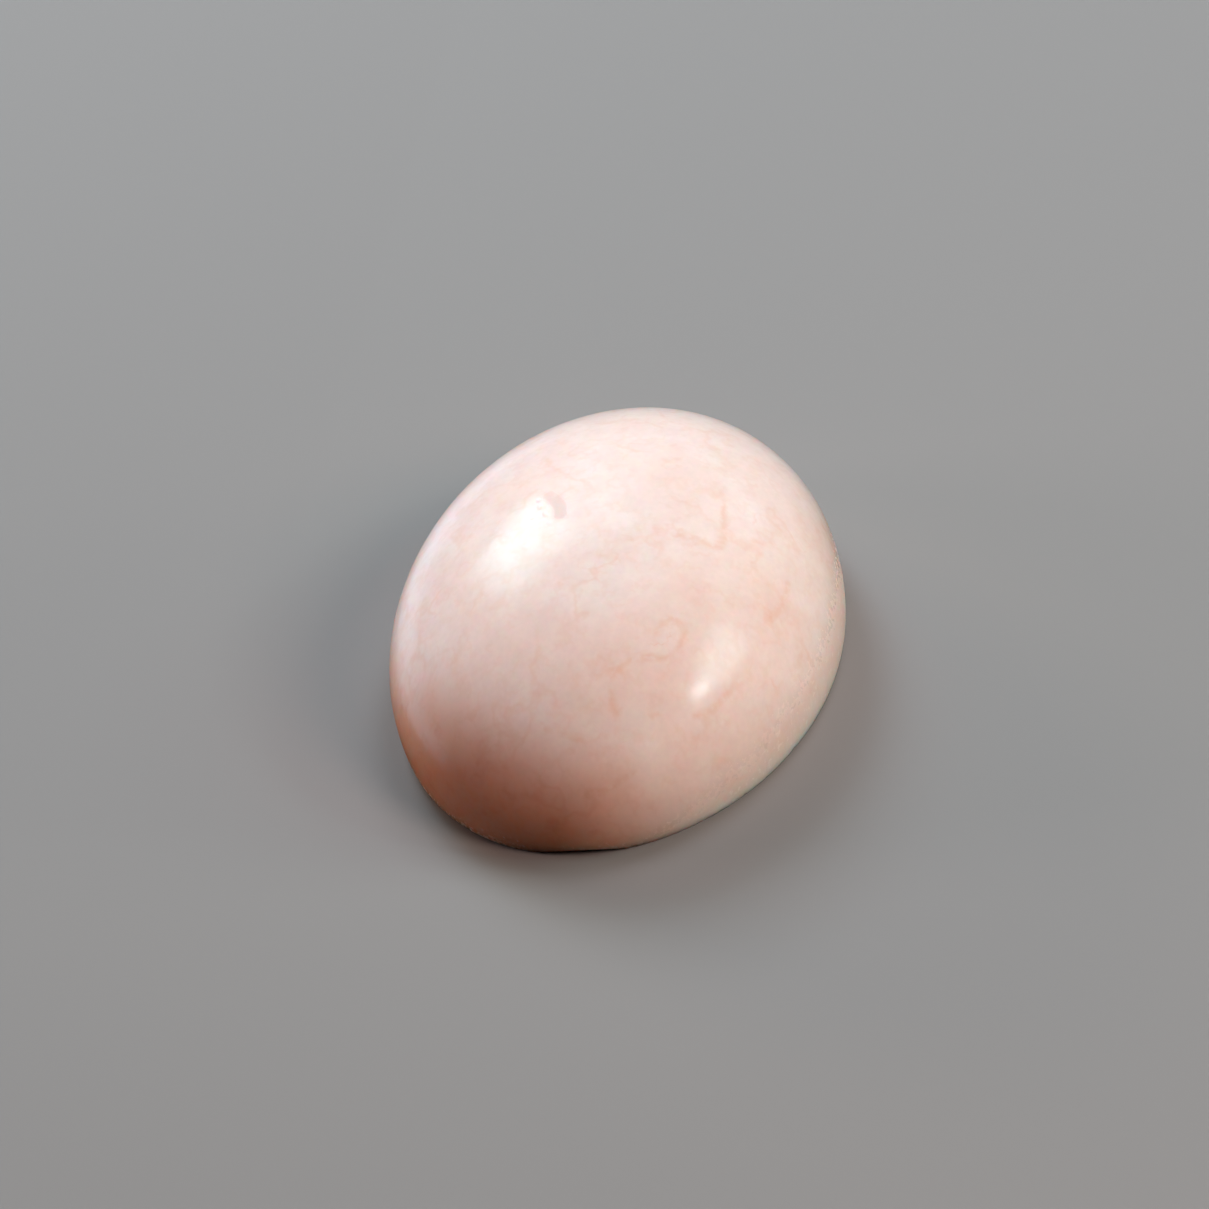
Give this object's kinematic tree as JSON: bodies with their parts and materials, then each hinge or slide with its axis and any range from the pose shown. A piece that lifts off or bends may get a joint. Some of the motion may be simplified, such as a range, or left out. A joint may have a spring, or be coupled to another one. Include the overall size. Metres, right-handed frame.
{
  "type": "oval cabochon gemstone",
  "caption": "Oval cabochon of pink opal with a high polished dome, a rolled lower edge and a flat ground back to rest or glue it on.",
  "frame": {"origin": "centre of the flat back, on the surface that the stone lies on", "axes": "+X along the oval's length, +Y across its width, +Z from the flat back up to the top of the dome"},
  "size_m": [0.02, 0.015, 0.007],
  "materials": {
    "pink_opal": "polished dome, faintly translucent pale pink with clouds and fine rusty veins; the back and its edge are ground matt"
  },
  "bodies": {
    "root": {"cabochon": "pink_opal"}
  },
  "joints": []
}
